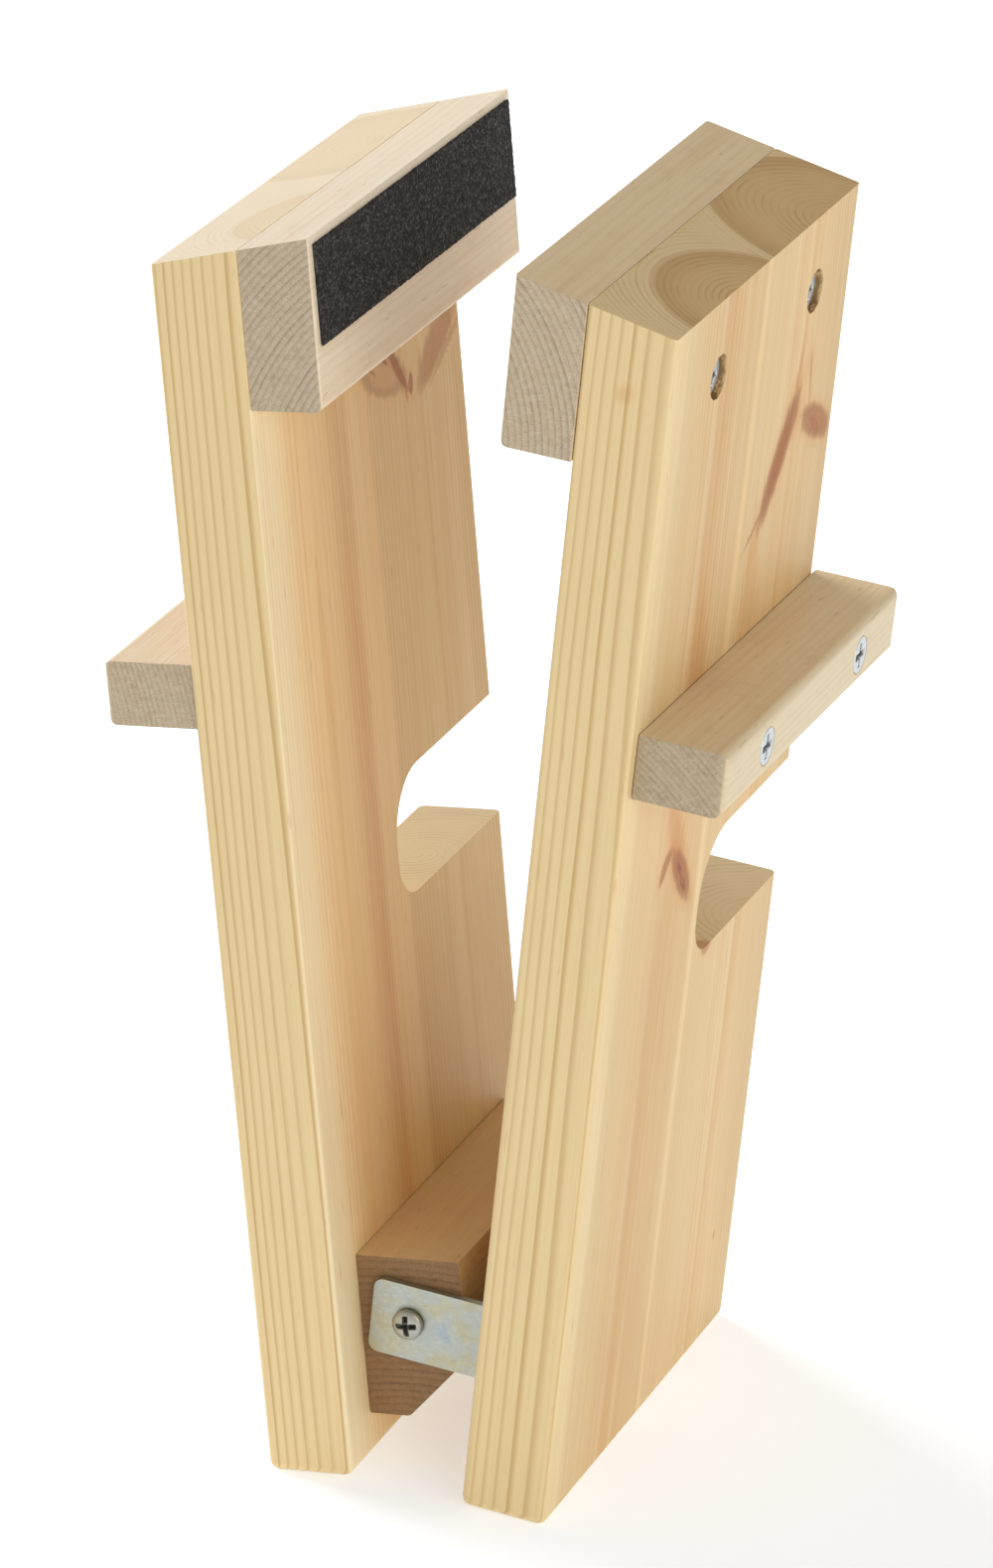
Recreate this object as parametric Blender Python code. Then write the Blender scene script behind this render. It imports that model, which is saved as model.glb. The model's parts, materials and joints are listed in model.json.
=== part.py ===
# Hinged wooden saw clamp for a bench vice, standing open on its own feet.
#
# Two upright pine boards are joined near their feet by a hardwood block and two steel angle
# brackets, so that they open like a book.  Each board carries a hardwood jaw with a strip of
# abrasive at its top, and a cleat on its outer face that hangs on a vice's jaw.
#
# Each board is drawn in its own board frame: x = 0 is its inner face, y = 0 its front edge
# and z = 0 its foot.  "Out" is the way from the inner face to the outer face.
# Metres, +Z up, +X across the boards, +Y from the front edges to the rear edges.

import math

import bmesh
import bpy
from mathutils import Matrix, Vector

# Driving sizes: boards
BOARD_HEIGHT = 0.400          # to the top of the jaw's gripping edge
BOARD_THICKNESS = 0.028
BOARD_DEPTH = 0.165
EDGE_RADIUS = 0.003           # rounding along the boards' and cleats' long edges
TOP_BEVEL = math.radians(10.3)  # the tops fall away outwards by this angle
NOTCH_BOTTOM = {"left": 0.1602, "right": 0.1588}  # the notch clears the vice's guide bars
NOTCH_DEPTH = {"left": 0.0857, "right": 0.0800}
NOTCH_HEIGHT = 0.040
NOTCH_TOP_RADIUS = 0.021
NOTCH_BOTTOM_RADIUS = 0.0135

# Driving sizes: jaws, pads and cleats
JAW_THICKNESS = 0.023
JAW_HEIGHT = 0.0533
JAW_EDGE_RADIUS = 0.0025
PAD_HEIGHT = 0.0312
PAD_THICKNESS = 0.0008
PAD_TOP_MARGIN = 0.0024
PAD_END_MARGIN = {"left": 0.0032, "right": 0.0060}
CLEAT_WIDTH = {"left": 0.0295, "right": 0.0280}
CLEAT_LENGTH = 0.162
CLEAT_HEIGHT = 0.0205
CLEAT_BOTTOM = 0.2445         # at the cleat's front end
CLEAT_SETBACK = {"left": 0.002, "right": 0.005}
CLEAT_DROOP = {"left": 0.0, "right": math.radians(1.1)}  # the rear end sits lower

# Driving sizes: hinge block and brackets
BLOCK_WIDTH = 0.0343
BLOCK_HEIGHT = 0.0535
BLOCK_BOTTOM = 0.014
BLOCK_SETBACK = 0.0186        # from each end of the boards
BLOCK_CHAMFER = 0.0208
BLOCK_EDGE_RADIUS = 0.001
BRACKET_LEG = 0.0400
BRACKET_WIDTH = 0.025
BRACKET_THICKNESS = 0.0025
BRACKET_BEND_RADIUS = 0.003   # outside of the bend
BRACKET_CORNER_RADIUS = 0.003
BRACKET_HOLES = (0.015, 0.030)  # along the fixed leg, from the bend's outer face
PIVOT_HEIGHT_LEFT = 0.0471    # above each board's foot
PIVOT_HEIGHT_RIGHT = 0.0487
PIVOT_TO_RIGHT_BOARD = 0.0278
OPEN_ANGLE = math.radians(10.8)

# Driving sizes: screws, each as head radius, head height, shank radius and length
JAW_SCREW = {"head": 0.0058, "rise": 0.0036, "shank": 0.0023, "length": 0.040}
CLEAT_SCREW = {"head": 0.0060, "rise": 0.0037, "shank": 0.0023, "length": 0.045}
BLOCK_SCREW = {"head": 0.0052, "rise": 0.0033, "shank": 0.0022, "length": 0.050}
PIVOT_SCREW = {"head": 0.0050, "rise": 0.0032, "shank": 0.0024, "length": 0.030}
BRACKET_SCREW = {"head": 0.0040, "rise": 0.0024, "shank": 0.0018, "length": 0.020}
SCREW_TIP = 0.005
SCREW_SPACING = 0.0875        # between the front and rear screws of a row
SCREW_ROW_SETBACK = 0.005     # the rows' middle lies behind the board's middle by this
JAW_SCREW_DROP = 0.0343       # below the jaw's gripping edge
COUNTERBORE_RADIUS = 0.0070
COUNTERBORE_DEPTH = 0.0020
BLOCK_SCREW_SPACING = 0.080
BLOCK_SCREW_HEIGHT = 0.041    # above the foot

# Fits
SEAT_GAP = 0.0003             # between pieces that rest on each other
HOLE_CLEARANCE = 0.0003       # round a screw, on the radius
ROUND_SEGMENTS = 24
ARC_SEGMENTS = 8
BEVEL_SEGMENTS = 4
SMALL_BEVEL_SEGMENTS = 2

# Derived places
PIVOT_X = BLOCK_WIDTH / 2
SCREW_ROW = (
    BOARD_DEPTH / 2 + SCREW_ROW_SETBACK - SCREW_SPACING / 2,
    BOARD_DEPTH / 2 + SCREW_ROW_SETBACK + SCREW_SPACING / 2,
)
BLOCK_SCREW_ROW = (
    BOARD_DEPTH / 2 - BLOCK_SCREW_SPACING / 2,
    BOARD_DEPTH / 2 + BLOCK_SCREW_SPACING / 2,
)
OUT = {"left": -1.0, "right": 1.0}

COLOURS = {
    "pine": ((0.83, 0.63, 0.36), 0.55, 0.0),
    "beech": ((0.66, 0.50, 0.35), 0.55, 0.0),
    "grip": ((0.025, 0.025, 0.027), 0.95, 0.0),
    "zinc": ((0.62, 0.62, 0.58), 0.38, 1.0),
}


def clear_scene():
    for old in list(bpy.data.objects):
        bpy.data.objects.remove(old, do_unlink=True)


def make_material(name, finish):
    """One Principled material with the colour, roughness and metallic value of a finish."""
    colour, roughness, metallic = COLOURS[finish]
    material = bpy.data.materials.new(name)
    material.use_nodes = True
    shader = material.node_tree.nodes["Principled BSDF"]
    shader.inputs["Base Color"].default_value = (*colour, 1.0)
    shader.inputs["Roughness"].default_value = roughness
    shader.inputs["Metallic"].default_value = metallic
    return material


def make_empty(name, parent=None, location=(0, 0, 0), turn_y=0.0):
    empty = bpy.data.objects.new(name, None)
    bpy.context.scene.collection.objects.link(empty)
    empty.parent = parent
    empty.location = location
    empty.rotation_euler = (0, turn_y, 0)
    return empty


def finish_mesh(name, bm, frame, finish=None, smooth=False):
    """Turn a bmesh into a named object in a frame; without a finish it is a cutter."""
    bmesh.ops.recalc_face_normals(bm, faces=bm.faces)
    mesh = bpy.data.meshes.new(name)
    bm.to_mesh(mesh)
    bm.free()
    if smooth:
        mesh.shade_smooth()
        mesh.set_sharp_from_angle(angle=math.radians(35))
    piece = bpy.data.objects.new(name, mesh)
    bpy.context.scene.collection.objects.link(piece)
    piece.parent = frame
    if finish is None:
        piece.hide_render = True
        piece.display_type = "WIRE"
    else:
        mesh.materials.append(make_material(name, finish))
    return piece


def cut(piece, cutter):
    """Subtract a cutter from a piece with an exact Boolean."""
    boolean = piece.modifiers.new(cutter.name, "BOOLEAN")
    boolean.operation = "DIFFERENCE"
    boolean.solver = "EXACT"
    boolean.object = cutter


def arc(centre, radius, start_deg, end_deg, steps=ARC_SEGMENTS):
    """Points along a circular arc, both ends included."""
    turns = [math.radians(start_deg + (end_deg - start_deg) * i / steps) for i in range(steps + 1)]
    return [(centre[0] + radius * math.cos(t), centre[1] + radius * math.sin(t)) for t in turns]


def prism(outline, place, low, high):
    """A bmesh that carries a flat outline from low to high; place maps (a, b, height)."""
    bm = bmesh.new()
    rings = [[bm.verts.new(place(a, b, h)) for a, b in outline] for h in (low, high)]
    bm.faces.new(rings[0])
    bm.faces.new(rings[1])
    for i in range(len(outline)):
        j = (i + 1) % len(outline)
        bm.faces.new((rings[0][i], rings[0][j], rings[1][j], rings[1][i]))
    return bm


def round_edges(bm, wanted, radius, segments):
    """Round the edges that the test picks, given an edge's two end points."""
    edges = [edge for edge in bm.edges if wanted(edge.verts[0].co, edge.verts[1].co)]
    bmesh.ops.bevel(
        bm, geom=edges, offset=radius, segments=segments, profile=0.5, affect="EDGES", clamp_overlap=True
    )


def near(value, target):
    return abs(value - target) < 1e-6


def top_height(out_distance):
    """Height of the sloping top at a distance out from the board's inner face."""
    return BOARD_HEIGHT - math.tan(TOP_BEVEL) * (JAW_THICKNESS + out_distance)


def slope_top(bm, side):
    """Lower each top corner to the sloping plane of the tops."""
    for vert in bm.verts:
        if near(vert.co.z, BOARD_HEIGHT):
            vert.co.z = top_height(vert.co.x * OUT[side])


def make_board(side, frame):
    """A glued pine board with a round-cornered notch open to the rear."""
    notch_front = BOARD_DEPTH - NOTCH_DEPTH[side]
    notch_bottom = NOTCH_BOTTOM[side]
    notch_top = notch_bottom + NOTCH_HEIGHT
    outline = [(0.0, 0.0), (BOARD_DEPTH, 0.0), (BOARD_DEPTH, notch_bottom)]
    low_centre = (notch_front + NOTCH_BOTTOM_RADIUS, notch_bottom + NOTCH_BOTTOM_RADIUS)
    high_centre = (notch_front + NOTCH_TOP_RADIUS, notch_top - NOTCH_TOP_RADIUS)
    outline += arc(low_centre, NOTCH_BOTTOM_RADIUS, 270, 180)
    outline += arc(high_centre, NOTCH_TOP_RADIUS, 180, 90)
    outline += [(BOARD_DEPTH, notch_top), (BOARD_DEPTH, BOARD_HEIGHT), (0.0, BOARD_HEIGHT)]
    bm = prism(outline, lambda y, z, x: (x, y, z), 0.0, OUT[side] * BOARD_THICKNESS)
    slope_top(bm, side)

    def long_or_foot_edge(a, b):
        upright = near(a.x, b.x) and near(a.y, b.y) and (near(a.y, 0.0) or near(a.y, BOARD_DEPTH))
        foot = near(a.z, 0.0) and near(b.z, 0.0)
        return upright or foot

    round_edges(bm, long_or_foot_edge, EDGE_RADIUS, BEVEL_SEGMENTS)
    return finish_mesh(f"{side}_board", bm, frame, "pine", smooth=True)


def make_jaw(side, frame):
    """A hardwood jaw along the inner face of the board's top."""
    inner = -OUT[side] * JAW_THICKNESS
    outer = -OUT[side] * SEAT_GAP
    bottom = BOARD_HEIGHT - JAW_HEIGHT
    outline = [(inner, bottom), (outer, bottom), (outer, BOARD_HEIGHT), (inner, BOARD_HEIGHT)]
    bm = prism(outline, lambda x, z, y: (x, y, z), 0.0, BOARD_DEPTH)
    slope_top(bm, side)

    def inner_edge(a, b):
        on_face = near(a.x, inner) and near(b.x, inner)
        at_top = a.z > bottom + JAW_HEIGHT / 2 and b.z > bottom + JAW_HEIGHT / 2
        return on_face and not at_top

    round_edges(bm, inner_edge, JAW_EDGE_RADIUS, BEVEL_SEGMENTS)
    return finish_mesh(f"{side}_jaw", bm, frame, "beech", smooth=True)


def make_pad(side, frame):
    """A thin strip of abrasive stuck along the jaw's gripping face."""
    back = -OUT[side] * (JAW_THICKNESS + SEAT_GAP)
    face = back - OUT[side] * PAD_THICKNESS
    high = BOARD_HEIGHT - PAD_TOP_MARGIN
    low = high - PAD_HEIGHT
    outline = [(back, low), (face, low), (face, high), (back, high)]
    margin = PAD_END_MARGIN[side]
    bm = prism(outline, lambda x, z, y: (x, y, z), margin, BOARD_DEPTH - margin)
    return finish_mesh(f"{side}_grip_pad", bm, frame, "grip")


def on_cleat(side, along, up):
    """The y and z of a point along a cleat from its front end and up from its middle line."""
    droop = CLEAT_DROOP[side]
    y = CLEAT_SETBACK[side] + along * math.cos(droop) + up * math.sin(droop)
    z = CLEAT_BOTTOM + CLEAT_HEIGHT / 2 - along * math.sin(droop) + up * math.cos(droop)
    return y, z


def make_cleat(side, frame):
    """A hardwood cleat along the board's outer face, which hangs on a vice's jaw."""
    root = OUT[side] * (BOARD_THICKNESS + SEAT_GAP)
    tip = root + OUT[side] * CLEAT_WIDTH[side]
    half = CLEAT_HEIGHT / 2
    outline = [(root, -half), (tip, -half), (tip, half), (root, half)]
    bm = prism(outline, lambda x, up, along: (x, *on_cleat(side, along, up)), 0.0, CLEAT_LENGTH)
    round_edges(bm, lambda a, b: near(a.x, tip) and near(b.x, tip), EDGE_RADIUS, BEVEL_SEGMENTS)
    return finish_mesh(f"{side}_cleat", bm, frame, "beech", smooth=True)


def make_block(frame):
    """The hinge block on the left board, its lower corner cut away for the turning board."""
    top = BLOCK_BOTTOM + BLOCK_HEIGHT
    outline = [
        (SEAT_GAP, BLOCK_BOTTOM),
        (BLOCK_WIDTH - BLOCK_CHAMFER, BLOCK_BOTTOM),
        (BLOCK_WIDTH, BLOCK_BOTTOM + BLOCK_CHAMFER),
        (BLOCK_WIDTH, top),
        (SEAT_GAP, top),
    ]
    bm = prism(outline, lambda x, z, y: (x, y, z), BLOCK_SETBACK, BOARD_DEPTH - BLOCK_SETBACK)

    def long_edge(a, b):
        return near(a.x, b.x) and near(a.z, b.z) and a.x > 2 * SEAT_GAP

    round_edges(bm, long_edge, BLOCK_EDGE_RADIUS, SMALL_BEVEL_SEGMENTS)
    return finish_mesh("hinge_block", bm, frame, "beech", smooth=True)


def make_bracket(end, frame):
    """An angle bracket: one leg across the block's end, one along the right board.

    Its outline is drawn from above, with the bend's outer corner at the origin, the turning
    leg along -X and the fixed leg along +Y, and is mirrored in Y for the rear bracket.
    """
    inner_radius = BRACKET_BEND_RADIUS - BRACKET_THICKNESS
    centre = (-BRACKET_BEND_RADIUS, BRACKET_BEND_RADIUS)
    outline = [(-BRACKET_LEG, 0.0)]
    outline += arc(centre, BRACKET_BEND_RADIUS, 270, 360)
    outline += [(0.0, BRACKET_LEG), (-BRACKET_THICKNESS, BRACKET_LEG)]
    outline += arc(centre, inner_radius, 360, 270)
    outline += [(-BRACKET_LEG, BRACKET_THICKNESS)]
    half = BRACKET_WIDTH / 2
    bm = prism(outline, lambda x, y, z: (x, y, z), -half, half)

    def leg_end_corner(a, b):
        across = near(a.z, b.z)
        turning = near(a.x, -BRACKET_LEG) and near(b.x, -BRACKET_LEG)
        fixed = near(a.y, BRACKET_LEG) and near(b.y, BRACKET_LEG)
        return across and (turning or fixed)

    round_edges(bm, leg_end_corner, BRACKET_CORNER_RADIUS, BEVEL_SEGMENTS)
    front_y = BLOCK_SETBACK - SEAT_GAP - BRACKET_THICKNESS
    step = 1.0
    if end == "rear":
        front_y = BOARD_DEPTH - front_y
        step = -1.0
    corner = Vector((-SEAT_GAP, front_y, PIVOT_HEIGHT_RIGHT))
    bmesh.ops.transform(bm, matrix=Matrix.Translation(corner) @ Matrix.Diagonal((1, step, 1, 1)), verts=bm.verts)
    return finish_mesh(f"{end}_bracket", bm, frame, "zinc", smooth=True)


def turned(profile, point, axis):
    """A closed solid of revolution: (radius, height) pairs about an axis through a point."""
    bm = bmesh.new()
    rings = []
    for radius, height in profile:
        if radius == 0.0:
            rings.append([bm.verts.new((0, 0, height))])
            continue
        turns = [2 * math.pi * i / ROUND_SEGMENTS for i in range(ROUND_SEGMENTS)]
        rings.append([bm.verts.new((radius * math.cos(t), radius * math.sin(t), height)) for t in turns])
    for upper, lower in zip(rings, rings[1:]):
        for i in range(ROUND_SEGMENTS):
            j = (i + 1) % ROUND_SEGMENTS
            corners = [upper[i % len(upper)], upper[j % len(upper)], lower[j % len(lower)], lower[i % len(lower)]]
            bm.faces.new(list(dict.fromkeys(corners)))
    turn = Vector(axis).to_track_quat("Z", "Y").to_matrix().to_4x4()
    bmesh.ops.transform(bm, matrix=Matrix.Translation(point) @ turn, verts=bm.verts)
    return bm


def screw_profile(screw, kind):
    """A screw from its head's top down; height 0 is the surface that it is driven into."""
    head, rise, shank, length = screw["head"], screw["rise"], screw["shank"], screw["length"]
    if kind == "countersunk":
        crown = [(0.0, 0.0), (head, 0.0), (shank, -rise)]
    else:
        dome = [
            (head * math.sin(math.radians(t)), rise * (0.45 + 0.55 * math.cos(math.radians(t))))
            for t in (30, 60, 90)
        ]
        crown = [(0.0, rise)] + dome + [(head, SEAT_GAP), (shank, SEAT_GAP)]
    return crown + [(shank, -length + SCREW_TIP), (0.0, -length)]


def hole_profile(screw, kind, mouth):
    """The hole for a screw: its clearance, and a mouth that is open out to a height."""
    room = HOLE_CLEARANCE
    head, rise, shank, length = screw["head"], screw["rise"], screw["shank"], screw["length"]
    bottom = [(shank + room, -length + SCREW_TIP), (0.0, -length - room)]
    if kind == "countersunk":
        wide = max(head + room, mouth["radius"])
        seat = [(head + room, -room)] if wide > head + room else []
        start = [(0.0, mouth["height"]), (wide, mouth["height"]), (wide, -room)] + seat
        return start + [(shank + room, -rise - room)] + bottom
    return [(0.0, mouth["height"]), (shank + room, mouth["height"])] + bottom


def drive_screw(name, screw, kind, point, axis, frame, pieces, mouth):
    """Make one screw at a point, heading into the wood against axis, and its holes."""
    bm = turned(screw_profile(screw, kind), point, axis)
    finish_mesh(name, bm, frame, "zinc", smooth=True)
    hole = finish_mesh(f"{name}_hole", turned(hole_profile(screw, kind, mouth), point, axis), frame)
    for piece in pieces:
        cut(piece, hole)


def frame_spread():
    """Lean of the left board and the place of its frame, so that both feet touch the floor.

    The outer edges of the feet are arcs of the edge radius.  The lean brings the two arcs'
    centres level, and the cleats' outer top edges set the middle across.
    """
    r = EDGE_RADIUS
    reach = {side: BOARD_THICKNESS + SEAT_GAP + CLEAT_WIDTH[side] - r for side in OUT}
    rise = CLEAT_BOTTOM + CLEAT_HEIGHT - r

    def right_to_left(x, z):
        x, z = x + PIVOT_TO_RIGHT_BOARD, z - PIVOT_HEIGHT_RIGHT
        turned_x = x * math.cos(OPEN_ANGLE) + z * math.sin(OPEN_ANGLE)
        turned_z = -x * math.sin(OPEN_ANGLE) + z * math.cos(OPEN_ANGLE)
        return turned_x + PIVOT_X, turned_z + PIVOT_HEIGHT_LEFT

    left_foot = (-(BOARD_THICKNESS - r), r)
    right_foot = right_to_left(BOARD_THICKNESS - r, r)
    lean = math.atan2(left_foot[1] - right_foot[1], right_foot[0] - left_foot[0])

    def leaned(x, z):
        return x * math.cos(lean) - z * math.sin(lean), x * math.sin(lean) + z * math.cos(lean)

    low = leaned(*left_foot)[1] - r
    left_end = leaned(-reach["left"], rise)[0] - r
    right_end = leaned(*right_to_left(reach["right"], rise))[0] + r
    cleat_ends = [on_cleat(side, CLEAT_LENGTH, CLEAT_HEIGHT / 2)[0] for side in OUT]
    length = max(BOARD_DEPTH, *cleat_ends)
    return lean, (-(left_end + right_end) / 2, -length / 2, -low)


def build():
    clear_scene()
    lean, place = frame_spread()
    left_frame = make_empty("left_frame", None, place, -lean)
    hinge_axis = make_empty("hinge_axis", left_frame, (PIVOT_X, 0, PIVOT_HEIGHT_LEFT), OPEN_ANGLE)
    right_frame = make_empty("right_frame", hinge_axis, (PIVOT_TO_RIGHT_BOARD, 0, -PIVOT_HEIGHT_RIGHT))
    frames = {"left": left_frame, "right": right_frame}

    boards = {}
    for side, frame in frames.items():
        out = OUT[side]
        board = make_board(side, frame)
        jaw = make_jaw(side, frame)
        cleat = make_cleat(side, frame)
        make_pad(side, frame)
        boards[side] = board
        sunk = out * (BOARD_THICKNESS - COUNTERBORE_DEPTH)
        proud = out * (BOARD_THICKNESS + SEAT_GAP + CLEAT_WIDTH[side])
        for end, y in zip(("front", "rear"), SCREW_ROW):
            drive_screw(
                f"{side}_jaw_screw_{end}", JAW_SCREW, "countersunk",
                (sunk, y, BOARD_HEIGHT - JAW_SCREW_DROP), (out, 0, 0), frame, (board, jaw),
                {"radius": COUNTERBORE_RADIUS, "height": 2 * COUNTERBORE_DEPTH},
            )
            drive_screw(
                f"{side}_cleat_screw_{end}", CLEAT_SCREW, "countersunk",
                (proud, *on_cleat(side, y - CLEAT_SETBACK[side], 0.0)), (out, 0, 0), frame, (board, cleat),
                {"radius": 0.0, "height": COUNTERBORE_DEPTH},
            )

    block = make_block(left_frame)
    for end, y in zip(("front", "rear"), BLOCK_SCREW_ROW):
        drive_screw(
            f"block_screw_{end}", BLOCK_SCREW, "countersunk",
            (-BOARD_THICKNESS, y, BLOCK_SCREW_HEIGHT), (-1, 0, 0), left_frame, (boards["left"], block),
            {"radius": 0.0, "height": COUNTERBORE_DEPTH},
        )

    pivot_seat = BLOCK_SETBACK - SEAT_GAP - BRACKET_THICKNESS
    for end, step in (("front", 1.0), ("rear", -1.0)):
        start = 0.0 if end == "front" else BOARD_DEPTH
        bracket = make_bracket(end, right_frame)
        pivot_y = start + step * pivot_seat
        mouth = {"radius": 0.0, "height": COUNTERBORE_DEPTH}
        drive_screw(
            f"{end}_pivot_screw", PIVOT_SCREW, "pan", (PIVOT_X, pivot_y, PIVOT_HEIGHT_LEFT),
            (0, -step, 0), left_frame, (block,), mouth,
        )
        bearing = turned(
            hole_profile(PIVOT_SCREW, "pan", mouth),
            (-PIVOT_TO_RIGHT_BOARD, pivot_y, PIVOT_HEIGHT_RIGHT), (0, -step, 0),
        )
        cut(bracket, finish_mesh(f"{end}_bracket_bearing", bearing, right_frame))
        for number, along in enumerate(BRACKET_HOLES, start=1):
            drive_screw(
                f"{end}_bracket_screw_{number}", BRACKET_SCREW, "pan",
                (-SEAT_GAP - BRACKET_THICKNESS, start + step * (pivot_seat + along), PIVOT_HEIGHT_RIGHT),
                (-1, 0, 0), right_frame, (boards["right"], bracket), mouth,
            )


build()
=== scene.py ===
# A hinged wooden saw clamp for a bench vice, standing open on its own feet.
#
# The sections follow the clamp as it is put together: the two pine boards, the hardwood jaws,
# cleats and hinge block, the abrasive strips, the steel brackets, the screws, and last the
# table it stands on with its light and camera.  Metres, +Z up, +Y along the hinge.
import json
import math

import bmesh
import bpy
import numpy as np
from mathutils import Matrix, Vector


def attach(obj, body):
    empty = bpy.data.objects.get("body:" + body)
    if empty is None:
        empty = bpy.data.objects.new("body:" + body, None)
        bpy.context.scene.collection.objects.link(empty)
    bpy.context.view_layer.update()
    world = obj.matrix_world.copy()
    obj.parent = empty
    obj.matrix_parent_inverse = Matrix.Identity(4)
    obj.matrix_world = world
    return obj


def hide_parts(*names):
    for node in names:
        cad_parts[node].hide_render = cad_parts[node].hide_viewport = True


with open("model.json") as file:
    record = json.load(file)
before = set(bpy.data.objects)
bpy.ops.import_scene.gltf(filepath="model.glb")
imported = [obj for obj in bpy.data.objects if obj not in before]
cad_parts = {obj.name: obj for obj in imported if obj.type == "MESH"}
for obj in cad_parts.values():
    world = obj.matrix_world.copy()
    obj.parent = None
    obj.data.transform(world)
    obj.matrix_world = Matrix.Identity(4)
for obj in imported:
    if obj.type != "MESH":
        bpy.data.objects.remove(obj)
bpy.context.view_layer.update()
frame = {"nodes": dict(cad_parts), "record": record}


# ---------------------------------------------------------------------------------------------
# Pine boards.  Each is glued up from two wide strips of planed pine, so its growth rings turn
# about two piths: stripes on the edges, arcs on the end grain and soft bands on the faces.
# A few brown knots break the faces.  The screws' counterbores are painted dark: the scorch the
# cutter left, together with painted shade on the bore walls.  Painted shade also darkens the
# sawn slots, the rear of the left board's faces and the left board's outer face.
# ---------------------------------------------------------------------------------------------
# Each side of the clamp leans outwards from the hinge, so every piece on it is drawn in that
# side's own axes: u across the board's thickness, y from front to rear and z from the foot
# up, all counted from the board's lowest front corner.
SIDES = ("left", "right")
mounts = {mount["name"]: mount for mount in frame["record"]["mounts"]}


def node_points(node):
    """Every corner of a CAD node as an n by 3 array, in the row frame."""
    mesh = frame["nodes"][node].data
    points = np.empty(len(mesh.vertices) * 3)
    mesh.vertices.foreach_get("co", points)
    return points.reshape(-1, 3)


side_turn = {}
side_axes = {}
side_corner = {}
for side in SIDES:
    across_x, _, across_z = mounts[f"{side}_grip_face"]["axis"]
    side_turn[side] = -math.atan(across_z / across_x)
    side_axes[side] = np.array(Matrix.Rotation(side_turn[side], 3, "Y"))
    lowest = (node_points(f"{side}_board") @ side_axes[side]).min(0)
    side_corner[side] = side_axes[side] @ lowest


def side_box(node, side):
    """A node's lowest and highest corners in its side's own axes."""
    points = (node_points(node) - side_corner[side]) @ side_axes[side]
    return points.min(0), points.max(0)


def to_row(points, side):
    """Points in a side's own axes, as points in the row frame."""
    return points @ side_axes[side].T + side_corner[side]


def colour(red, green, blue):
    """A display colour, 0 to 255 each, as linear light with full alpha."""
    shares = [value / 255 for value in (red, green, blue)]
    return [s / 12.92 if s <= 0.04045 else ((s + 0.055) / 1.055) ** 2.4 for s in shares] + [1.0]


class Tree:
    """A node tree with short calls that add a node, feed it and give back its output."""

    def __init__(self, nodes_in):
        self.tree = nodes_in

    def add(self, kind, inputs=None, output=0, **settings):
        node = self.tree.nodes.new(kind)
        for name, value in settings.items():
            setattr(node, name, value)
        for name, value in (inputs or {}).items():
            if isinstance(value, bpy.types.NodeSocket):
                self.tree.links.new(value, node.inputs[name])
            elif value is not None:
                node.inputs[name].default_value = value
        return node.outputs[output]

    def sum(self, operation, a, b=None, c=None, clamp=False):
        inputs = {0: a, 1: b, 2: c}
        return self.add("ShaderNodeMath", inputs, operation=operation, use_clamp=clamp)

    def vector(self, operation, a, b=None, scale=None, output=0):
        inputs = {0: a, 1: b}
        if scale is not None:
            inputs["Scale"] = scale
        return self.add("ShaderNodeVectorMath", inputs, output=output, operation=operation)

    def rise(self, value, low, high):
        """0 below low, 1 above high and an even curve between them; falls when high is less."""
        inputs = {"Value": value, "From Min": low, "From Max": high}
        return self.add("ShaderNodeMapRange", inputs, interpolation_type="SMOOTHSTEP")

    def split(self, vector):
        """The outputs X, Y and Z of a vector taken apart."""
        node = self.tree.nodes.new("ShaderNodeSeparateXYZ")
        self.tree.links.new(vector, node.inputs[0])
        return node.outputs

    def join(self, x, y, z):
        return self.add("ShaderNodeCombineXYZ", {"X": x, "Y": y, "Z": z})

    def choose(self, second, a, b):
        """The value a where second is 0, and b where it is 1."""
        return self.add("ShaderNodeMix", {0: second, 2: a, 3: b})

    def mix(self, factor, a, b, blend="MIX"):
        node = self.tree.nodes.new("ShaderNodeMix")
        node.data_type = "RGBA"
        node.blend_type = blend
        for socket, value in zip((node.inputs[0], node.inputs[6], node.inputs[7]), (factor, a, b)):
            if isinstance(value, bpy.types.NodeSocket):
                self.tree.links.new(value, socket)
            else:
                socket.default_value = value
        return node.outputs[2]

    def noise(self, position, scale, detail=2.0, roughness=0.5, output="Fac"):
        inputs = {"Vector": position, "Scale": scale, "Detail": detail, "Roughness": roughness}
        return self.add("ShaderNodeTexNoise", inputs, output=output)


def new_group(name, inputs, outputs):
    """A shader node group with named sockets, each (name, kind) or (name, kind, value)."""
    nodes = bpy.data.node_groups.new(name, "ShaderNodeTree")
    for label, kind, *value in inputs:
        socket = nodes.interface.new_socket(label, in_out="INPUT", socket_type=f"NodeSocket{kind}")
        if value:
            socket.default_value = value[0]
    for label, kind in outputs:
        nodes.interface.new_socket(label, in_out="OUTPUT", socket_type=f"NodeSocket{kind}")
    given = nodes.nodes.new("NodeGroupInput").outputs
    result = nodes.nodes.new("NodeGroupOutput").inputs
    return Tree(nodes), given, result


def place_group(tree, name, inputs):
    """Put a group in a tree, feed it and give back its outputs by name."""
    node = tree.tree.nodes.new("ShaderNodeGroup")
    node.node_tree = bpy.data.node_groups[name]
    for label, value in inputs.items():
        if isinstance(value, bpy.types.NodeSocket):
            tree.tree.links.new(value, node.inputs[label])
        else:
            node.inputs[label].default_value = value
    return node.outputs


HEART_BLUR = 0.0018           # half the width of the change from sapwood to heartwood
HEART_RIM = 0.014             # width of the darker rim just inside it


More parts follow.
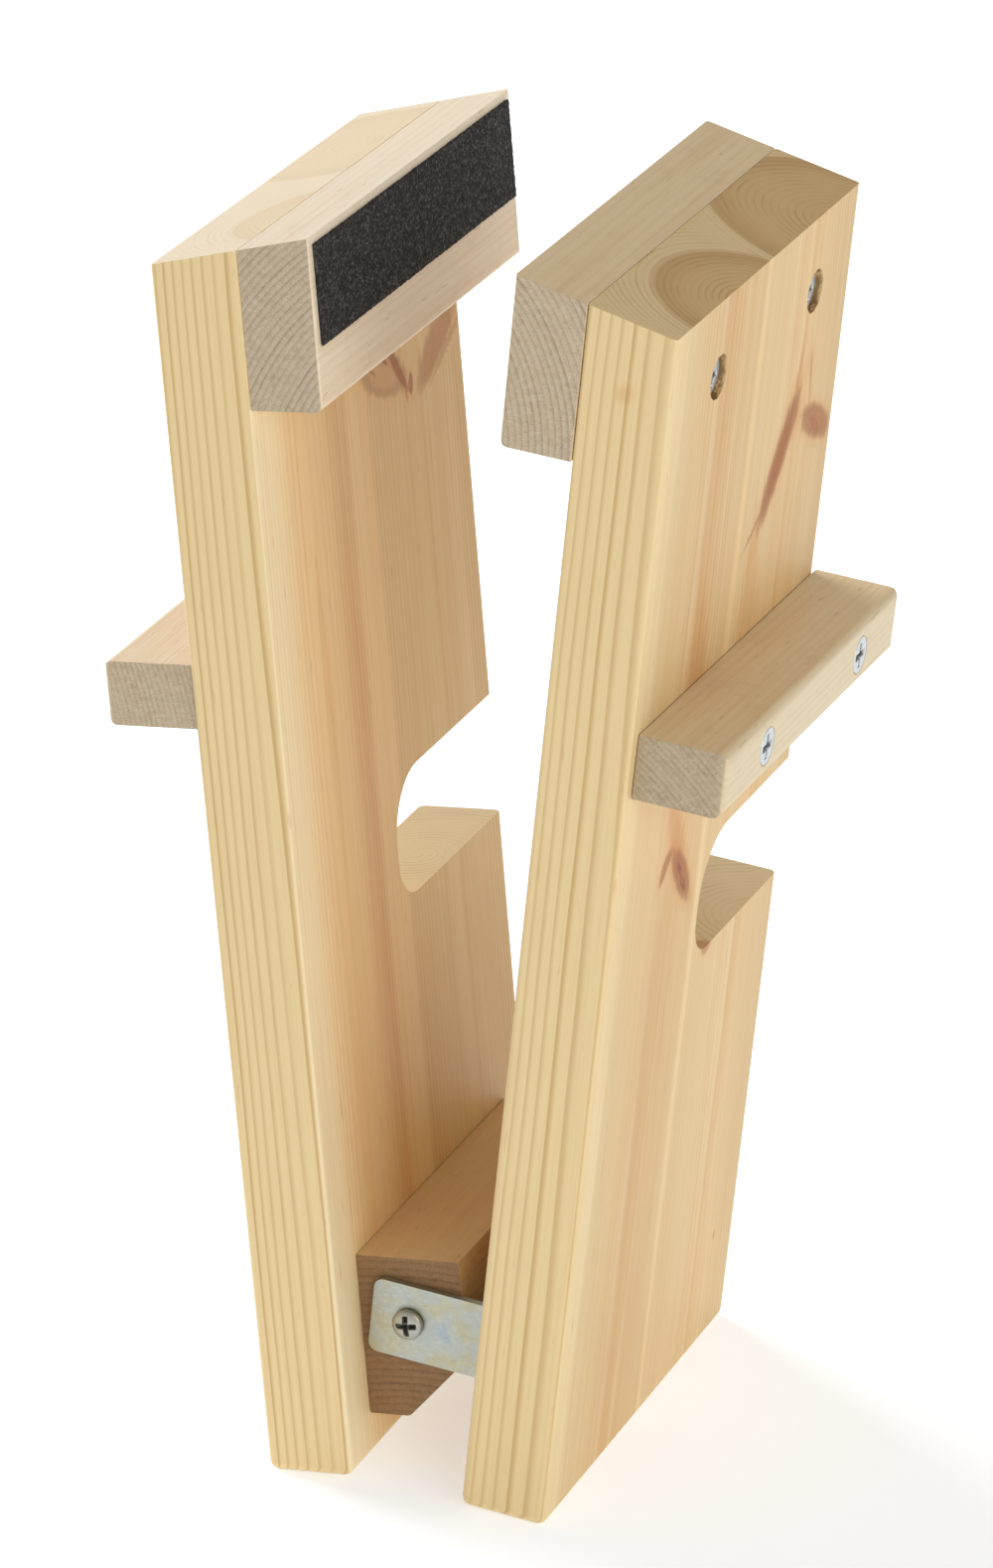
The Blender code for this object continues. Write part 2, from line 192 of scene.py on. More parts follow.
def make_growth_rings():
    """Latewood lines at even steps of the distance from the pith, with a slow waver.

    Each year's line darkens slowly towards its outer side and ends sharply, and its
    strength is its own.  Heartwood is everything nearer the pith than its radius.
    """
    tree, given, result = new_group(
        "Growth Rings",
        [("Position", "Vector"), ("Pith", "Vector"), ("Ring Width", "Float", 0.002),
         ("Heart Radius", "Float", 0.03), ("Waver", "Float", 0.002), ("Line Start", "Float", 0.2)],
        [("Latewood", "Float"), ("Heartwood", "Float"), ("Heart Rim", "Float")],
    )
    slow = tree.vector("MULTIPLY", given["Position"], (1.0, 1.0, 0.22))
    bend = tree.noise(slow, 14.0, 2.0, 0.45, output="Color")
    bend = tree.vector("SUBTRACT", bend, (0.5, 0.5, 0.5))
    bend = tree.vector("SCALE", bend, scale=given["Waver"])
    place = tree.vector("ADD", given["Position"], bend)
    away = tree.vector("SUBTRACT", place, given["Pith"])
    away = tree.vector("MULTIPLY", away, (1.0, 1.0, 0.0))
    distance = tree.vector("LENGTH", away, output="Value")
    year = tree.sum("DIVIDE", distance, given["Ring Width"])
    part = tree.sum("FRACT", year)
    number = tree.sum("FLOOR", year)
    soft = tree.sum("POWER", tree.rise(part, given["Line Start"], 0.90), 1.8)
    edge = tree.rise(part, 1.0, 0.92)
    line = tree.sum("MULTIPLY", soft, edge)
    strength = tree.add("ShaderNodeTexWhiteNoise", {"W": number}, noise_dimensions="1D")
    strength = tree.sum("MULTIPLY_ADD", strength, 0.60, 0.45)
    tree.tree.links.new(tree.sum("MULTIPLY", line, strength, clamp=True), result["Latewood"])
    beyond = tree.sum("SUBTRACT", distance, given["Heart Radius"])
    heart = tree.rise(beyond, HEART_BLUR, -HEART_BLUR)
    rim = tree.sum("MULTIPLY", heart, tree.rise(beyond, -HEART_RIM, 0.0))
    tree.tree.links.new(heart, result["Heartwood"])
    tree.tree.links.new(rim, result["Heart Rim"])


def make_fibre():
    """Fine streaks and short dark flecks drawn out along the grain."""
    tree, given, result = new_group(
        "Wood Fibre",
        [("Position", "Vector"), ("Fineness", "Float", 900.0), ("Length Share", "Float", 0.02)],
        [("Streak", "Float"), ("Broad", "Float"), ("Fleck", "Float")],
    )
    stretch = tree.add("ShaderNodeCombineXYZ", {"X": 1.0, "Y": 1.0, "Z": given["Length Share"]})
    drawn = tree.vector("MULTIPLY", given["Position"], stretch)
    tree.tree.links.new(tree.noise(drawn, given["Fineness"], 3.0, 0.6), result["Streak"])
    coarse = tree.sum("MULTIPLY", given["Fineness"], 0.12)
    tree.tree.links.new(tree.noise(drawn, coarse, 2.0, 0.5), result["Broad"])
    dash = tree.vector("MULTIPLY", given["Position"], (1.0, 1.0, 0.16))
    dash = tree.noise(dash, 620.0, 1.0, 0.4)
    tree.tree.links.new(tree.rise(dash, 0.70, 0.78), result["Fleck"])


GRAIN_PUSH = 0.0022           # how far a knot pushes the grain aside


def make_knot():
    """A knot as a slanted, tapering ellipsoid: its flesh, its dark rim and the glow around it.

    The distance is the length of the offset over the half sizes, roughened by noise; the
    half size across grows with height by the taper.  The grain is pushed aside around it,
    so the position goes out bent for the growth rings.
    """
    tree, given, result = new_group(
        "Knot",
        [("Position", "Vector"), ("Centre", "Vector"), ("Half Size", "Vector", (0.006,) * 3),
         ("Slant", "Float"), ("Taper", "Float"), ("Softness", "Float", 0.25)],
        [("Flesh", "Float"), ("Rim", "Float"), ("Glow", "Float"), ("Bent Position", "Vector")],
    )
    offset = tree.vector("SUBTRACT", given["Position"], given["Centre"])
    parts = tree.split(offset)
    lean = tree.sum("MULTIPLY", parts["Z"], given["Slant"])
    straight = tree.join(parts["X"], tree.sum("SUBTRACT", parts["Y"], lean), parts["Z"])
    shares = tree.split(tree.vector("DIVIDE", straight, given["Half Size"]))
    widening = tree.sum("MULTIPLY_ADD", shares["Z"], given["Taper"], 1.0)
    widening = tree.sum("MAXIMUM", widening, 0.08)
    across = tree.sum("DIVIDE", shares["Y"], widening)
    shares = tree.join(shares["X"], across, shares["Z"])
    distance = tree.vector("LENGTH", shares, output="Value")
    drawn = tree.vector("MULTIPLY", given["Position"], (1.0, 1.0, 0.35))
    rough = tree.noise(drawn, 330.0, 3.0, 0.6)
    rough = tree.sum("MULTIPLY_ADD", rough, 0.6, -0.30)
    distance = tree.sum("ADD", distance, rough)
    outside = tree.sum("ADD", given["Softness"], 1.0)
    inside = tree.sum("SUBTRACT", 1.0, given["Softness"])
    flesh = tree.rise(distance, outside, inside)
    rim = tree.sum("MULTIPLY", tree.rise(distance, 0.55, 0.95), tree.rise(distance, outside, 1.0))
    glow = tree.rise(distance, 2.3, 0.7)
    tree.tree.links.new(flesh, result["Flesh"])
    tree.tree.links.new(rim, result["Rim"])
    tree.tree.links.new(glow, result["Glow"])
    away = tree.vector("NORMALIZE", straight)
    away = tree.vector("MULTIPLY", away, (0.0, 1.0, 0.0))
    away = tree.vector("SCALE", away, scale=tree.sum("MULTIPLY", glow, GRAIN_PUSH))
    tree.tree.links.new(tree.vector("ADD", given["Position"], away), result["Bent Position"])


make_growth_rings()
make_fibre()
make_knot()


def start_wood(name, side, along):
    """A wood material, with the place inside the wood, its end grain and its broad faces.

    along is "z" for boards, whose grain runs up, and "y" for bars, whose grain runs from
    front to rear.  Object coordinates are turned into the side's own axes first; the two
    masks come from how far the surface faces along the grain and across the board.
    """
    material = bpy.data.materials.new(name)
    material.use_nodes = True
    tree = Tree(material.node_tree)
    coordinates = tree.tree.nodes.new("ShaderNodeTexCoord")
    inputs = {
        "Vector": coordinates.outputs["Object"],
        "Location": side_corner[side],
        "Rotation": (0.0, side_turn[side], 0.0),
    }
    place = tree.add("ShaderNodeMapping", inputs, vector_type="TEXTURE")
    grain = side_axes[side][:, 2]
    if along == "y":
        parts = tree.split(place)
        place = tree.join(parts["X"], parts["Z"], parts["Y"])
        grain = (0.0, 1.0, 0.0)
    masks = []
    for direction in (grain, side_axes[side][:, 0]):
        normal = coordinates.outputs["Normal"]
        facing = tree.vector("DOT_PRODUCT", normal, direction, output="Value")
        masks.append(tree.rise(tree.sum("ABSOLUTE", facing), 0.55, 0.85))
    return material, tree, place, masks[0], masks[1]


PLANED_GLOSS = 0.35


def finish_wood(material, tree, tint, roughness, height, depth):
    """Feed the wood's colour, roughness and fine relief to its shader."""
    shader = material.node_tree.nodes["Principled BSDF"]
    relief = tree.add("ShaderNodeBump", {"Strength": 0.6, "Distance": depth, "Height": height})
    tree.tree.links.new(tint, shader.inputs["Base Color"])
    tree.tree.links.new(roughness, shader.inputs["Roughness"])
    tree.tree.links.new(relief, shader.inputs["Normal"])
    shader.inputs["Specular IOR Level"].default_value = PLANED_GLOSS


UPRIGHT_ROUND = 0.0031        # reach of the rounds on the upright edges at the foot
KEPT_AT_TOP = 0.35            # share of the round that is left at the top
TOP_SLOPE = math.tan(math.radians(10.3))


def crisp_top(points, side):
    """The same points with the rounds of the upright edges tightened towards the top.

    A point that lies within the round's radius of a corner, both across and from the front,
    moves towards that corner until, at the top, only the kept share of its distance is left.
    Points on the sloping top follow its slope.
    """
    local = (points - side_corner[side]) @ side_axes[side]
    low, high = local.min(0), local.max(0)
    corner = np.where(local - low < high - local, low, high)[:, :2]
    offset = local[:, :2] - corner
    rounded = (np.abs(offset) < UPRIGHT_ROUND).all(1)
    rise = np.clip((local[:, 2] - low[2]) / (high[2] - low[2]), 0, 1) * rounded
    move = -offset * ((1 - KEPT_AT_TOP) * rise)[:, None]
    local[:, :2] += move
    slope = TOP_SLOPE if side == "left" else -TOP_SLOPE
    local[:, 2] += np.where(local[:, 2] > 0.9 * high[2], slope * move[:, 0], 0.0)
    return to_row(local, side)


def softened_copy(node, name, softening, side=None):
    """A copy of a CAD node with its triangles merged and every sharp edge slightly rounded.

    Triangles that lie in one plane are joined, edges over 35 degrees get a small round, and
    corner normals are weighted by face area so that flat faces stay flat.  With a side, the
    upright edges get crisper towards the top.
    """
    source = frame["nodes"][node].data
    mesh = bpy.data.meshes.new(name)
    points = node_points(node) if side is None else crisp_top(node_points(node), side)
    mesh.from_pydata(points, [], [tuple(face.vertices) for face in source.polygons])
    bm = bmesh.new()
    bm.from_mesh(mesh)
    bmesh.ops.remove_doubles(bm, verts=bm.verts, dist=1e-5)
    bmesh.ops.dissolve_limit(bm, angle_limit=math.radians(0.4), verts=bm.verts, edges=bm.edges)
    bm.to_mesh(mesh)
    bm.free()
    mesh.shade_smooth()
    piece = bpy.data.objects.new(name, mesh)
    bpy.context.scene.collection.objects.link(piece)
    bevel = piece.modifiers.new("softened edges", "BEVEL")
    bevel.width = softening
    bevel.segments = 2
    bevel.limit_method = "ANGLE"
    bevel.angle_limit = math.radians(35)
    weighted = piece.modifiers.new("flat faces", "WEIGHTED_NORMAL")
    weighted.mode = "FACE_AREA"
    weighted.weight = 90
    return piece


def fit_piece(piece, material, body, slot, *nodes):
    """Give a finished piece its material and its body, and hide the nodes it stands for. The slot
    is not used.
    """
    piece.data.materials.clear()
    piece.data.materials.append(material)
    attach(piece, body)
    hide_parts(*nodes)


BOARD_SOFTENING = 0.0004
BOARD_DEPTH = 0.165
PINE_RELIEF = 0.00010
BAND_SWAY = 0.012             # how far the faces' bands wander from front to rear
PORE_SCALE = 2600.0
CLEAN_OUTLINE = 0.38          # knots softer than this do not reach into the slot's walls
PINE_EDGE = colour(234, 207, 154)
PINE_EDGE_LINE = colour(198, 163, 101)
PINE_FACE_LINE = colour(238, 212, 178)
# The sawn slot's end grain is painted darker: painted shade under the board's upper part.
PINE_SLOT_SHADE = colour(209, 187, 146)
SLOT_HEIGHTS = (0.30, 0.20)   # end grain turns to the slot's painted shade, fading in between these heights
SLOT_LINE = 0.38              # how strongly the rings show on the slot's walls
PINE_FLECK = colour(196, 142, 92)
BORE_SCORCH_AND_SHADE = colour(112, 76, 46)  # the cutter's scorch, with painted shade on the bore's wall
BORE_SCORCH_AND_SHADE_SIZE = (0.0045, 0.0073, 0.0073)
KNOT_FLESH = colour(164, 90, 20)
KNOT_RIM = colour(112, 60, 16)
KNOT_GLOW = colour(242, 192, 116)
# Every knot: middle and half sizes as (across, from the front, up), how far it leans and
# widens upwards, how soft its outline is, and how strongly its flesh, rim and glow show.
KNOT_WORDS = ("centre", "half", "slant", "taper", "soft", "flesh", "rim", "glow")
# Each board: where its glue line runs, where across it the outer face lies and the painted shade
# over that face (on the left board it holds down the bright light of the left window), the two
# strips, the tints of its sawn ends with the strength of their lines and of the rim round their
# heartwood, the soft bands down its faces as (from the front, tint), its knots.  On the left
# board the bands darken towards the rear: painted shade deep in the gap between the boards.
PINE = {
    "left": {
        "glue": 0.0790,
        "outer": {"within": (0.004, 0.001), "tone": colour(206, 203, 205)},
        "strips": (
            {"pith": (0.043, 0.038, 0.0), "ring": 0.0021, "heart": 0.030},
            {"pith": (0.016, 0.122, 0.0), "ring": 0.0024, "heart": 0.038},
        ),
        "cut": {"sap": colour(234, 217, 187), "heart": colour(230, 209, 174),
                "line": 0.16, "rim": 0.15},
        # On the left board the bands darken towards the rear: painted shade deep in the gap between
        # the boards, laid over the wood's own bands.
        "bands": (
            (0.000, colour(255, 239, 198)), (0.010, colour(255, 238, 196)),
            (0.016, colour(254, 232, 184)), (0.030, colour(250, 220, 166)),
            (0.040, colour(248, 216, 161)), (0.052, colour(246, 216, 161)),
            (0.061, colour(235, 199, 144)), (0.068, colour(235, 199, 145)),
            (0.072, colour(243, 218, 164)), (0.083, colour(242, 217, 164)),
            (0.086, colour(230, 204, 152)), (0.110, colour(226, 201, 149)),
            (0.140, colour(222, 195, 143)), (0.165, colour(218, 189, 137)),
        ),
        "knots": (
            ((0.028, 0.101, 0.3262), (0.010, 0.0130, 0.0080), -1.10, 0.1, 0.30, 0.30, 0.25, 0.18),
            ((0.028, 0.0880, 0.3320), (0.008, 0.0011, 0.0034), -1.08, 0.0, 0.45, 0.45, 0.20, 0.10),
            ((0.028, 0.1020, 0.3320), (0.008, 0.0014, 0.0030), -1.22, 0.0, 0.40, 0.80, 0.40, 0.15),
            ((0.028, 0.1145, 0.3240), (0.010, 0.0020, 0.0070), -0.67, 0.1, 0.45, 0.75, 0.30, 0.30),
            ((0.028, 0.1180, 0.3160), (0.008, 0.0008, 0.0034), 0.00, 0.0, 0.45, 0.45, 0.10, 0.15),
            ((0.028, 0.1226, 0.3172), (0.008, 0.0013, 0.0030), 0.21, 0.0, 0.40, 0.75, 0.35, 0.20),
            ((0.028, 0.1425, 0.3225), (0.010, 0.0092, 0.0088), 1.23, 0.3, 0.45, 0.56, 0.16, 0.14),
            ((0.028, 0.1530, 0.3200), (0.010, 0.0020, 0.0062), 1.90, 0.2, 0.50, 0.30, 0.10, 0.10),
        ),
    },
    "right": {
        "glue": 0.0815,
        "outer": {"within": (0.024, 0.027), "tone": colour(255, 255, 255)},
        "strips": (
            {"pith": (0.041, 0.048, 0.0), "ring": 0.0021, "heart": 0.0365},
            {"pith": (0.037, 0.130, 0.0), "ring": 0.0025, "heart": 0.045},
        ),
        "cut": {"sap": colour(228, 199, 146), "heart": colour(214, 177, 121),
                "line": 0.44, "rim": 0.65},
        "bands": (
            (0.000, colour(239, 214, 161)), (0.008, colour(236, 210, 158)),
            (0.013, colour(225, 196, 144)), (0.030, colour(224, 193, 138)),
            (0.040, colour(222, 187, 134)), (0.049, colour(216, 174, 118)),
            (0.056, colour(217, 177, 120)), (0.066, colour(221, 187, 133)),
            (0.079, colour(220, 186, 131)), (0.0815, colour(239, 210, 155)),
            (0.085, colour(225, 194, 141)), (0.108, colour(227, 195, 143)),
            (0.128, colour(226, 191, 136)), (0.150, colour(223, 191, 138)),
            (0.165, colour(218, 188, 138)),
        ),
        "knots": (
            ((0.028, 0.1475, 0.3182), (0.012, 0.0088, 0.0070), -1.28, 0.0, 0.40, 0.74, 0.26, 0.36),
            ((0.028, 0.1470, 0.3170), (0.008, 0.0034, 0.0030), -1.10, 0.0, 0.60, 0.36, 0.20, 0.10),
            ((0.028, 0.1140, 0.3165), (0.010, 0.0060, 0.0155), 0.64, 0.1, 0.50, 0.94, 0.24, 0.42),
            ((0.028, 0.0965, 0.2995), (0.010, 0.0014, 0.0042), 1.45, 0.0, 0.50, 0.50, 0.10, 0.15),
            ((0.028, 0.1373, 0.3370), (0.010, 0.0010, 0.0080), -0.18, 0.0, 0.50, 0.30, 0.00, 0.25),
            ((0.028, 0.1246, 0.3390), (0.010, 0.0014, 0.0090), 0.18, 0.0, 0.50, 0.25, 0.00, 0.30),
            ((0.028, 0.0638, 0.1968), (0.010, 0.0050, 0.0098), -0.73, 0.1, 0.40, 0.80, 0.25, 0.50),
            ((0.028, 0.0640, 0.1960), (0.008, 0.0022, 0.0052), -0.73, 0.0, 0.50, 0.70, 0.70, 0.10),
            ((0.028, 0.0535, 0.2150), (0.010, 0.0042, 0.0120), -0.60, -0.3, 0.60, 0.08, 0.00, 0.36),
            ((0.028, 0.0462, 0.2055), (0.006, 0.0026, 0.0044), 0.50, 0.0, 0.40, 0.70, 0.20, 0.25),
            ((0.028, 0.0545, 0.2700), (0.010, 0.0060, 0.0220), -0.15, -0.4, 0.60, 0.08, 0.00, 0.26),
            ((0.028, 0.1000, 0.2760), (0.010, 0.0055, 0.0180), -0.10, -0.4, 0.60, 0.05, 0.00, 0.28),
            ((0.028, 0.0985, 0.1598), (0.006, 0.0045, 0.0030), 0.00, 0.0, 0.35, 0.55, 0.10, 0.15),
            ((0.028, 0.1443, 0.0380), (0.004, 0.0008, 0.0016), 0.00, 0.0, 0.40, 0.40, 0.05, 0.10),
            ((0.0142, 0.0000, 0.3712), (0.0020, 0.0040, 0.0022), 0.00, 0.0, 0.50, 0.06, 0.00, 0.22),
        ),
    },
}


def pine_material(side):
    """Pine with two strips' growth rings, knots, fibre, a glue line and darker end grain."""
    facts = PINE[side]
    material, tree, place, end_grain, broad = start_wood(f"{side} board pine", side, "z")
    knots = []
    bent = place
    for values in facts["knots"]:
        knot = dict(zip(KNOT_WORDS, values))
        inputs = {"Position": bent, "Centre": knot["centre"], "Half Size": knot["half"],
                  "Slant": knot["slant"], "Taper": knot["taper"], "Softness": knot["soft"]}
        found = place_group(tree, "Knot", inputs)
        knots.append((knot, found))
        bent = found["Bent Position"]
    parts = tree.split(place)
    rear_strip = tree.sum("GREATER_THAN", parts["Y"], facts["glue"])
    rings = []
    for strip in facts["strips"]:
        inputs = {"Position": bent, "Pith": strip["pith"], "Ring Width": strip["ring"],
                  "Heart Radius": strip["heart"], "Waver": 0.005, "Line Start": 0.40}
        rings.append(place_group(tree, "Growth Rings", inputs))
    late, heart, rim = (
        tree.choose(rear_strip, rings[0][mask], rings[1][mask])
        for mask in ("Latewood", "Heartwood", "Heart Rim")
    )
    inputs = {"Position": bent, "Fineness": 900.0, "Length Share": 0.02}
    fibre = place_group(tree, "Wood Fibre", inputs)

    edge = tree.mix(tree.sum("MULTIPLY", late, 0.85), PINE_EDGE, PINE_EDGE_LINE)
    slow = tree.vector("MULTIPLY", bent, (1.0, 1.0, 0.035))
    sway = tree.noise(slow, 60.0, 1.0, 0.4)
    sway = tree.sum("MULTIPLY_ADD", sway, BAND_SWAY, -BAND_SWAY / 2)
    # Soft bands from front to rear: the wood's own tones, and on the left board painted shade
    # towards the rear.
    from_front = tree.sum("DIVIDE", tree.sum("ADD", parts["Y"], sway), BOARD_DEPTH)
    ramp = tree.tree.nodes.new("ShaderNodeValToRGB")
    tree.tree.links.new(from_front, ramp.inputs[0])
    stops = ramp.color_ramp.elements
    while len(stops) < len(facts["bands"]):
        stops.new(1.0)
    for stop, (place_of_band, band) in zip(stops, facts["bands"]):
        stop.position = place_of_band / BOARD_DEPTH
        stop.color = band
    face = ramp.outputs["Color"]
    uneven = tree.noise(slow, 150.0, 2.0, 0.55)
    darker = tree.sum("MULTIPLY", tree.rise(uneven, 0.48, 0.72), 0.26)
    face = tree.mix(darker, face, colour(247, 226, 200), blend="MULTIPLY")
    paler = tree.sum("MULTIPLY", tree.rise(uneven, 0.46, 0.30), 0.20)
    face = tree.mix(paler, face, colour(244, 224, 180))
    shown = tree.rise(tree.noise(slow, 35.0, 1.0, 0.4), 0.42, 0.62)
    shown = tree.sum("MULTIPLY_ADD", shown, 0.45, 0.12)
    face = tree.mix(tree.sum("MULTIPLY", late, shown), face, PINE_FACE_LINE, blend="MULTIPLY")
    # Painted shade: the outer face is multiplied by the outer tone, on the left board to hold down
    # the bright light of the left window.
    outer = tree.rise(parts["X"], *facts["outer"]["within"])
    outer = tree.sum("MULTIPLY", broad, outer)
    face = tree.mix(outer, face, facts["outer"]["tone"], blend="MULTIPLY")
    tint = tree.mix(broad, edge, face)
    streak = tree.rise(fibre["Streak"], 0.40, 0.70)
    streak = tree.sum("MULTIPLY", streak, 0.10)
    tint = tree.mix(streak, tint, colour(220, 182, 130), blend="MULTIPLY")
    tint = tree.mix(tree.sum("MULTIPLY", fibre["Fleck"], 0.22), tint, PINE_FLECK)
    for knot, found in knots:
        glow = tree.sum("MULTIPLY", found["Glow"], knot["glow"])
        tint = tree.mix(glow, tint, KNOT_GLOW, blend="MULTIPLY")
        tint = tree.mix(tree.sum("MULTIPLY", found["Flesh"], knot["flesh"]), tint, KNOT_FLESH)
        tint = tree.mix(tree.sum("MULTIPLY", found["Rim"], knot["rim"]), tint, KNOT_RIM)
    seam = tree.sum("ABSOLUTE", tree.sum("SUBTRACT", parts["Y"], facts["glue"]))
    seam = tree.rise(seam, 0.0004, 0.0001)
    tint = tree.mix(tree.sum("MULTIPLY", seam, 0.22), tint, colour(190, 146, 96))
    cut = tree.mix(heart, facts["cut"]["sap"], facts["cut"]["heart"])
    rim = tree.sum("MULTIPLY", rim, facts["cut"]["rim"])
    cut = tree.mix(rim, cut, colour(228, 216, 200), blend="MULTIPLY")
    # Painted shade: the end grain down in the sawn slot, under the board's upper part, is darker.
    in_slot = tree.rise(parts["Z"], *SLOT_HEIGHTS)
    cut = tree.mix(in_slot, cut, PINE_SLOT_SHADE)
    patch = tree.rise(tree.noise(place, 70.0, 1.0, 0.4), 0.35, 0.65)
    shown = tree.sum("MULTIPLY", late, tree.sum("MULTIPLY_ADD", patch, 0.8, 0.25))
    lines = facts["cut"]["line"]
    lines = tree.sum("MULTIPLY_ADD", in_slot, SLOT_LINE - lines, lines)
    cut = tree.mix(tree.sum("MULTIPLY", shown, lines), cut, colour(150, 116, 72))
    pores = tree.rise(tree.noise(place, PORE_SCALE, 1.0, 0.5), 0.52, 0.68)
    cut = tree.mix(tree.sum("MULTIPLY", pores, 0.10), cut, colour(150, 120, 84))
    for knot, found in knots:
        if knot["centre"][2] < SLOT_HEIGHTS[1] and knot["soft"] < CLEAN_OUTLINE:
            cut = tree.mix(tree.sum("MULTIPLY", found["Flesh"], knot["flesh"]), cut, KNOT_FLESH)
    tint = tree.mix(end_grain, tint, cut)

    # Painted shade in the counterbores of the jaw screws, darkening the bore walls, mixed with the
    # scorch the cutter left.
    for end in ("front", "rear"):
        low, high = side_box(f"{side}_jaw_screw_{end}", side)
        seat = (low + high) / 2
        seat[0] = high[0] if side == "right" else low[0]
        inputs = {
            "Position": place, "Centre": seat, "Half Size": BORE_SCORCH_AND_SHADE_SIZE, "Softness": 0.05,
        }
        bore_scorch_and_shade = place_group(tree, "Knot", inputs)["Flesh"]
        tint = tree.mix(tree.sum("MULTIPLY", bore_scorch_and_shade, 0.75), tint, BORE_SCORCH_AND_SHADE)

    chatter = tree.noise(tree.vector("MULTIPLY", place, (1.0, 0.12, 1.0)), 800.0, 1.0, 0.5)
    roughness = tree.sum("MULTIPLY_ADD", end_grain, 0.18, 0.48)
    roughness = tree.sum("MULTIPLY_ADD", fibre["Streak"], 0.12, roughness)
    height = tree.sum("MULTIPLY_ADD", late, 0.06, tree.sum("MULTIPLY", fibre["Streak"], 0.35))
    height = tree.sum("MULTIPLY_ADD", chatter, 0.40, height)
    finish_wood(material, tree, tint, roughness, height, PINE_RELIEF)
    return material


for side in SIDES:
    board = softened_copy(f"{side}_board", f"{side}_pine_board", BOARD_SOFTENING, side)
    fit_piece(board, pine_material(side), f"{side}_side", "pine", f"{side}_board")


# ---------------------------------------------------------------------------------------------
# Hardwood bars: jaws, cleats and the hinge block.  Planed beech with its grain from front to
# rear, pale and faintly flecked along its faces, greyer on the sawn ends, where close growth
# rings run slantwise and fine rays cross them.  Glued and screwed to the boards.
# ---------------------------------------------------------------------------------------------
BAR_SOFTENING = 0.0003
BEECH_RELIEF = 0.00015
BEECH_FACE = colour(252, 236, 208)
BEECH_LINE = colour(211, 181, 139)
BEECH_END = colour(204, 186, 158)
BEECH_END_LINE = colour(138, 119, 98)
# Each bar: its side, its pith, its rings' width, how strongly they show, and the painted light
# and shade over its top and bottom, over its ends and over its upright faces: the same wood is
# tinted lighter or darker by how the light falls on each facing.
BARS = {
    "left_jaw": {"side": "left", "pith": (0.105, 0.310, 0.0), "ring": 0.0020, "lines": 0.50,
                 "painted_light_by_facing": (colour(237, 235, 231), colour(249, 248, 246), colour(255, 255, 255))},
    "right_jaw": {"side": "right", "pith": (-0.078, 0.342, 0.0), "ring": 0.0021, "lines": 0.52,
                  "painted_light_by_facing": (colour(236, 223, 198), colour(255, 254, 252), colour(255, 255, 255))},
    "left_cleat": {"side": "left", "pith": (-0.160, 0.230, 0.0), "ring": 0.0017, "lines": 0.30,
                   "painted_light_by_facing": (colour(228, 223, 217), colour(250, 249, 244), colour(234, 229, 222))},
    "right_cleat": {"side": "right", "pith": (-0.020, 0.180, 0.0), "ring": 0.0018, "lines": 0.34,
                    "painted_light_by_facing": (colour(237, 228, 207), colour(241, 239, 234), colour(228, 223, 209))},
    "hinge_block": {"side": "left", "pith": (0.045, -0.080, 0.0), "ring": 0.0024, "lines": 0.45,
                    "painted_light_by_facing": (colour(234, 215, 185), colour(192, 163, 135), colour(225, 207, 177))},
}


RAYS_ROUND = 95.0             # noise steps to a radian round the pith
RAYS_OUTWARD = 90.0           # noise steps to a metre away from it


def make_rays():
    """Fine rays on end grain: noise drawn out along the lines that run from the pith."""
    tree, given, result = new_group(
        "Rays", [("Position", "Vector"), ("Pith", "Vector")], [("Ray", "Float")]
    )
    away = tree.vector("SUBTRACT", given["Position"], given["Pith"])
    parts = tree.split(away)
    turn = tree.sum("ARCTAN2", parts["Y"], parts["X"])
    flat = tree.vector("MULTIPLY", away, (1.0, 1.0, 0.0))
    distance = tree.vector("LENGTH", flat, output="Value")
    turn = tree.sum("MULTIPLY", turn, RAYS_ROUND)
    spread = tree.join(turn, tree.sum("MULTIPLY", distance, RAYS_OUTWARD), 0.0)
    fine = tree.noise(spread, 1.6, 2.0, 0.6)
    tree.tree.links.new(tree.rise(fine, 0.50, 0.68), result["Ray"])


make_rays()


